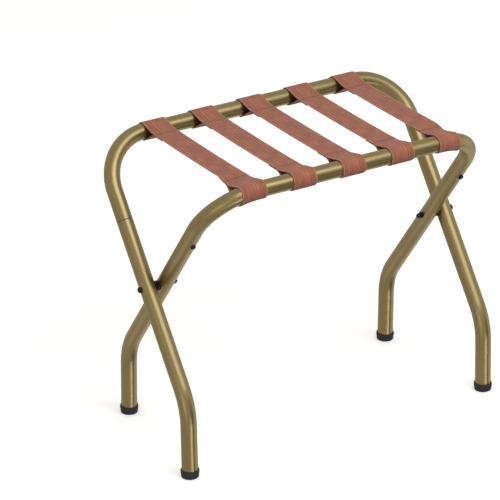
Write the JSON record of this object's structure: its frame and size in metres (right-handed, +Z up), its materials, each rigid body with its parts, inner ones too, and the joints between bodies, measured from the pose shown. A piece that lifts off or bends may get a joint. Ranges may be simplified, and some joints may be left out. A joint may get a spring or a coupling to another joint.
{
  "type": "folding luggage rack",
  "caption": "Folding luggage rack: two bent steel tube frames crossed at side pivots, webbing straps sewn around both top rails, rubber foot caps.",
  "frame": {"origin": "on the floor, under the middle of the open rack", "axes": "+X along the rails, +Y to the back, where the outer frame's rail is, +Z up"},
  "size_m": [0.5708, 0.3102, 0.4685],
  "materials": {
    "tube_finish": "satin antique gold powder coat",
    "webbing": "woven terracotta webbing",
    "black_fasteners": "satin black",
    "foot_rubber": "matte black",
    "bare_steel": "plain"
  },
  "bodies": {
    "outer_frame": {"outer_top_frame": "tube_finish", "outer_leg_left": "tube_finish", "outer_leg_right": "tube_finish", "strap_1": "webbing", "strap_2": "webbing", "strap_3": "webbing", "strap_4": "webbing", "strap_5": "webbing", "outer_foot_cap_left": "foot_rubber", "outer_foot_cap_right": "foot_rubber", "pivot_bolt_left": "black_fasteners", "pivot_bolt_right": "black_fasteners", "pivot_nut_left": "black_fasteners", "pivot_nut_right": "black_fasteners", "outer_spacer_left": "black_fasteners", "outer_spacer_right": "black_fasteners", "outer_screw_left": "black_fasteners", "outer_screw_right": "black_fasteners", "outer_weld_nut_left": "bare_steel", "outer_weld_nut_right": "bare_steel"},
    "inner_frame": {"inner_top_frame": "tube_finish", "inner_leg_left": "tube_finish", "inner_leg_right": "tube_finish", "inner_foot_cap_left": "foot_rubber", "inner_foot_cap_right": "foot_rubber", "inner_spacer_left": "black_fasteners", "inner_spacer_right": "black_fasteners", "inner_screw_left": "black_fasteners", "inner_screw_right": "black_fasteners", "inner_weld_nut_left": "bare_steel", "inner_weld_nut_right": "bare_steel"}
  },
  "joints": [
    {"name": "fold", "type": "hinge", "parent": "outer_frame", "child": "inner_frame", "pos_m": [0, 0, 0.2667], "axis": [-1, 0, 0], "range_deg": [0, 65], "deforming": ["strap_1", "strap_2", "strap_3", "strap_4", "strap_5"]}
  ]
}
